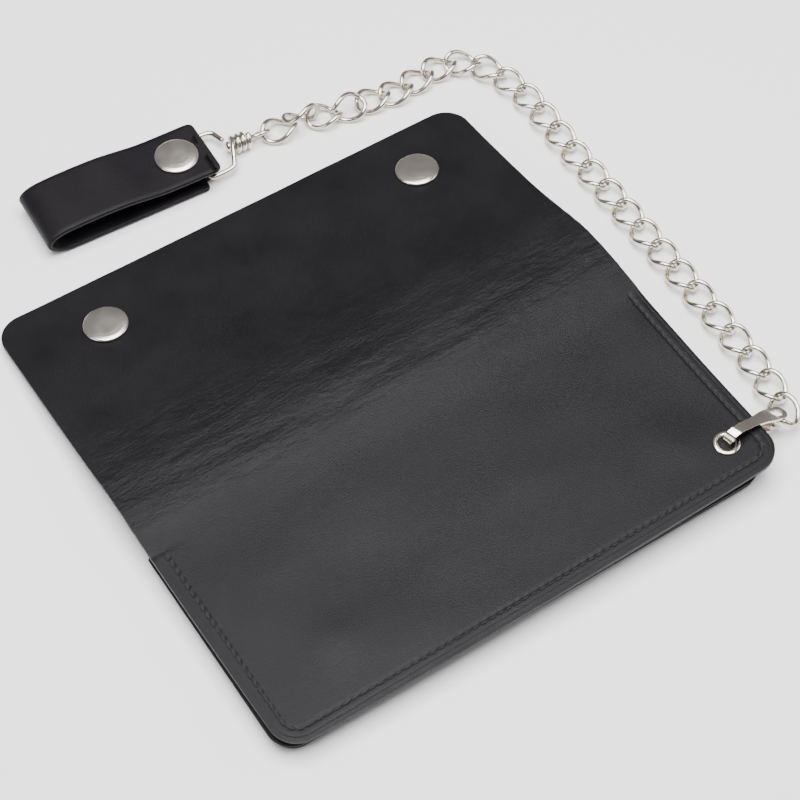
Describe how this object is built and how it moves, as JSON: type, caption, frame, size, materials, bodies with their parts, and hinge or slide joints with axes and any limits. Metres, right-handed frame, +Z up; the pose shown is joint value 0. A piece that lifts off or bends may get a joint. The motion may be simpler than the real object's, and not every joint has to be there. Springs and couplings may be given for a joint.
{
  "type": "chain wallet",
  "caption": "Long leather wallet lying open and face down, with a snap flap, card slots, a grommet and clip, a twisted link chain, and a swivel belt strap.",
  "frame": {"origin": "centre of the card pocket's outer face, which looks down", "axes": "+X along the long side towards the grommet, +Y from the sewn edge towards the flap, +Z up"},
  "size_m": [0.2087, 0.2228, 0.0163],
  "materials": {
    "shell_leather": "satin",
    "lining_leather": "matte",
    "strap_leather": "satin",
    "nickel": "polished"
  },
  "bodies": {
    "wallet": {"back_panel": "shell_leather", "bill_divider": "lining_leather", "card_pocket_back": "lining_leather", "card_slot_front": "lining_leather", "card_slot_middle": "lining_leather", "card_slot_rear": "lining_leather", "snap_stud_left": "nickel", "snap_stud_right": "nickel", "snap_post_left": "nickel", "snap_post_right": "nickel", "grommet": "nickel", "grommet_washer": "nickel"},
    "spine_top": {"spine_upper": "shell_leather"},
    "spine_bottom": {"spine_lower": "shell_leather"},
    "flap": {"flap": "shell_leather", "snap_cap_left": "nickel", "snap_cap_right": "nickel", "snap_socket_left": "nickel", "snap_socket_right": "nickel"},
    "clip": {"clip": "nickel"},
    "link_01": {"link_01": "nickel"},
    "link_02": {"link_02": "nickel"},
    "link_03": {"link_03": "nickel"},
    "link_04": {"link_04": "nickel"},
    "link_05": {"link_05": "nickel"},
    "link_06": {"link_06": "nickel"},
    "link_07": {"link_07": "nickel"},
    "link_08": {"link_08": "nickel"},
    "link_09": {"link_09": "nickel"},
    "link_10": {"link_10": "nickel"},
    "link_11": {"link_11": "nickel"},
    "link_12": {"link_12": "nickel"},
    "link_13": {"link_13": "nickel"},
    "link_14": {"link_14": "nickel"},
    "link_15": {"link_15": "nickel"},
    "link_16": {"link_16": "nickel"},
    "link_17": {"link_17": "nickel"},
    "link_18": {"link_18": "nickel"},
    "link_19": {"link_19": "nickel"},
    "link_20": {"link_20": "nickel"},
    "link_21": {"link_21": "nickel"},
    "link_22": {"link_22": "nickel"},
    "link_23": {"link_23": "nickel"},
    "link_24": {"link_24": "nickel"},
    "link_25": {"link_25": "nickel"},
    "link_26": {"link_26": "nickel"},
    "link_27": {"link_27": "nickel"},
    "swivel_eye": {"swivel_eye": "nickel"},
    "wire_bail": {"wire_bail": "nickel"},
    "strap": {"strap_lower": "strap_leather", "strap_fold": "strap_leather", "strap_stud": "nickel", "strap_post": "nickel"},
    "strap_top": {"strap_upper": "strap_leather", "strap_cap": "nickel", "strap_socket": "nickel"}
  },
  "joints": [
    {"name": "fold_top", "type": "hinge", "parent": "wallet", "child": "spine_top", "pos_m": [0, 0.044, 0.0061], "axis": [-1, 0, 0], "range_deg": [0, 32.2]},
    {"name": "fold_middle", "type": "hinge", "parent": "spine_top", "child": "spine_bottom", "pos_m": [0, 0.053, 0.0061], "axis": [-1, 0, 0], "range_deg": [0, 112.4]},
    {"name": "fold_bottom", "type": "hinge", "parent": "spine_bottom", "child": "flap", "pos_m": [0, 0.06199, 0.0056], "axis": [-1, 0, 0], "range_deg": [0, 30.4]},
    {"name": "clip_swing", "type": "hinge", "parent": "wallet", "child": "clip", "pos_m": [0.0762, -0.0268, 0.007], "axis": [0, 0, 1], "range_deg": [-75, 0]},
    {"name": "link_01_pitch", "type": "hinge", "parent": "clip", "child": "link_01", "pos_m": [0.0974, -0.0252, 0.0033], "axis": [0.9525, -0.3044, 0], "range_deg": [0, 30]},
    {"name": "link_02_pitch", "type": "hinge", "parent": "link_01", "child": "link_02", "pos_m": [0.10425, -0.01805, 0.00115], "axis": [-0.9525, 0.3044, 0], "range_deg": [-30, 30]},
    {"name": "link_03_pitch", "type": "hinge", "parent": "link_02", "child": "link_03", "pos_m": [0.1066, -0.0082, 0.00014], "axis": [0.9874, -0.158, 0], "range_deg": [-30, 30]},
    {"name": "link_04_pitch", "type": "hinge", "parent": "link_03", "child": "link_04", "pos_m": [0.1078, 0.00187, -0.00014], "axis": [-0.9969, 0.0786, 0], "range_deg": [-30, 30]},
    {"name": "link_05_pitch", "type": "hinge", "parent": "link_04", "child": "link_05", "pos_m": [0.1086, 0.01202, -0.00017], "axis": [0.9969, -0.0786, 0], "range_deg": [-30, 30]},
    {"name": "link_06_pitch", "type": "hinge", "parent": "link_05", "child": "link_06", "pos_m": [0.1092, 0.0222, -0.00018], "axis": [-0.9992, 0.0392, 0], "range_deg": [-30, 30]},
    {"name": "link_07_pitch", "type": "hinge", "parent": "link_06", "child": "link_07", "pos_m": [0.1096, 0.0324, -0.00018], "axis": [0.9992, -0.0392, 0], "range_deg": [-30, 30]},
    {"name": "link_08_pitch", "type": "hinge", "parent": "link_07", "child": "link_08", "pos_m": [0.11, 0.0426, -0.00018], "axis": [-0.9992, 0.0392, 0], "range_deg": [-30, 30]},
    {"name": "link_09_pitch", "type": "hinge", "parent": "link_08", "child": "link_09", "pos_m": [0.11034, 0.05279, -0.00018], "axis": [0.9996, -0.0275, 0], "range_deg": [-30, 30]},
    {"name": "link_10_pitch", "type": "hinge", "parent": "link_09", "child": "link_10", "pos_m": [0.11062, 0.06297, -0.00018], "axis": [-0.9996, 0.0275, 0], "range_deg": [-30, 30]},
    {"name": "link_11_pitch", "type": "hinge", "parent": "link_10", "child": "link_11", "pos_m": [0.1109, 0.07315, -0.00018], "axis": [0.9996, -0.0275, 0], "range_deg": [-30, 30]},
    {"name": "link_12_pitch", "type": "hinge", "parent": "link_11", "child": "link_12", "pos_m": [0.11118, 0.08333, -0.00018], "axis": [-0.9996, 0.0275, 0], "range_deg": [-30, 30]},
    {"name": "link_13_pitch", "type": "hinge", "parent": "link_12", "child": "link_13", "pos_m": [0.11146, 0.09351, -0.00018], "axis": [0.9996, -0.0275, 0], "range_deg": [-30, 30]},
    {"name": "link_14_pitch", "type": "hinge", "parent": "link_13", "child": "link_14", "pos_m": [0.11192, 0.10368, -0.00018], "axis": [-0.998, 0.0639, 0], "range_deg": [-30, 30]},
    {"name": "link_15_pitch", "type": "hinge", "parent": "link_14", "child": "link_15", "pos_m": [0.11257, 0.11382, -0.00018], "axis": [0.998, -0.0639, 0], "range_deg": [-30, 30]},
    {"name": "link_16_pitch", "type": "hinge", "parent": "link_15", "child": "link_16", "pos_m": [0.11305, 0.124, -0.00018], "axis": [-0.9996, 0.0294, 0], "range_deg": [-30, 30]},
    {"name": "link_17_pitch", "type": "hinge", "parent": "link_16", "child": "link_17", "pos_m": [0.1127, 0.13415, -0.00018], "axis": [0.9951, 0.0985, 0], "range_deg": [-30, 30]},
    {"name": "link_18_pitch", "type": "hinge", "parent": "link_17", "child": "link_18", "pos_m": [0.1108, 0.14395, -0.00018], "axis": [-0.9592, -0.2827, 0], "range_deg": [-30, 30]},
    {"name": "link_19_pitch", "type": "hinge", "parent": "link_18", "child": "link_19", "pos_m": [0.1065, 0.15245, -0.00018], "axis": [0.7911, 0.6118, 0], "range_deg": [-30, 30]},
    {"name": "link_20_pitch", "type": "hinge", "parent": "link_19", "child": "link_20", "pos_m": [0.0995, 0.15755, -0.00018], "axis": [-0.3127, -0.9498, 0], "range_deg": [-30, 30]},
    {"name": "link_21_pitch", "type": "hinge", "parent": "link_20", "child": "link_21", "pos_m": [0.0906, 0.15865, -0.00018], "axis": [-0.052, 0.9986, 0], "range_deg": [-30, 30]},
    {"name": "link_22_pitch", "type": "hinge", "parent": "link_21", "child": "link_22", "pos_m": [0.0811, 0.158, -0.00018], "axis": [0.0848, -0.9964, 0], "range_deg": [-30, 30]},
    {"name": "link_23_pitch", "type": "hinge", "parent": "link_22", "child": "link_23", "pos_m": [0.0721, 0.15835, -0.00018], "axis": [0.1718, 0.9851, 0], "range_deg": [-30, 30]},
    {"name": "link_24_pitch", "type": "hinge", "parent": "link_23", "child": "link_24", "pos_m": [0.06255, 0.159, 0.00103], "axis": [0.019, -0.9998, 0], "range_deg": [-30, 30]},
    {"name": "link_25_pitch", "type": "hinge", "parent": "link_24", "child": "link_25", "pos_m": [0.05335, 0.16035, 0.00103], "axis": [0.3446, 0.9387, 0], "range_deg": [-30, 12]},
    {"name": "link_26_pitch", "type": "hinge", "parent": "link_25", "child": "link_26", "pos_m": [0.0457, 0.16305, 0.00097], "axis": [-0.3201, -0.9474, 0], "range_deg": [-15, 30]},
    {"name": "link_27_pitch", "type": "hinge", "parent": "link_26", "child": "link_27", "pos_m": [0.0376, 0.1646, 0.00102], "axis": [0.068, 0.9977, 0], "range_deg": [-30, 30]},
    {"name": "eye_pitch", "type": "hinge", "parent": "link_27", "child": "swivel_eye", "pos_m": [0.0278, 0.166, 0.00012], "axis": [0.0995, 0.995, 0], "range_deg": [-12, 30]},
    {"name": "swivel", "type": "hinge", "parent": "swivel_eye", "child": "wire_bail", "pos_m": [0.01558, 0.16667, 0.0007], "axis": [0.9984, -0.0558, 0], "continuous": true},
    {"name": "bail_hinge", "type": "hinge", "parent": "wire_bail", "child": "strap", "pos_m": [0.0026, 0.1674, 0.0005], "axis": [0.0558, 0.9984, 0], "range_deg": [-30, 30]},
    {"name": "strap_open", "type": "hinge", "parent": "strap", "child": "strap_top", "pos_m": [-0.04987, 0.17033, 0.0081], "axis": [-0.0558, -0.9984, 0], "range_deg": [0, 150]}
  ]
}
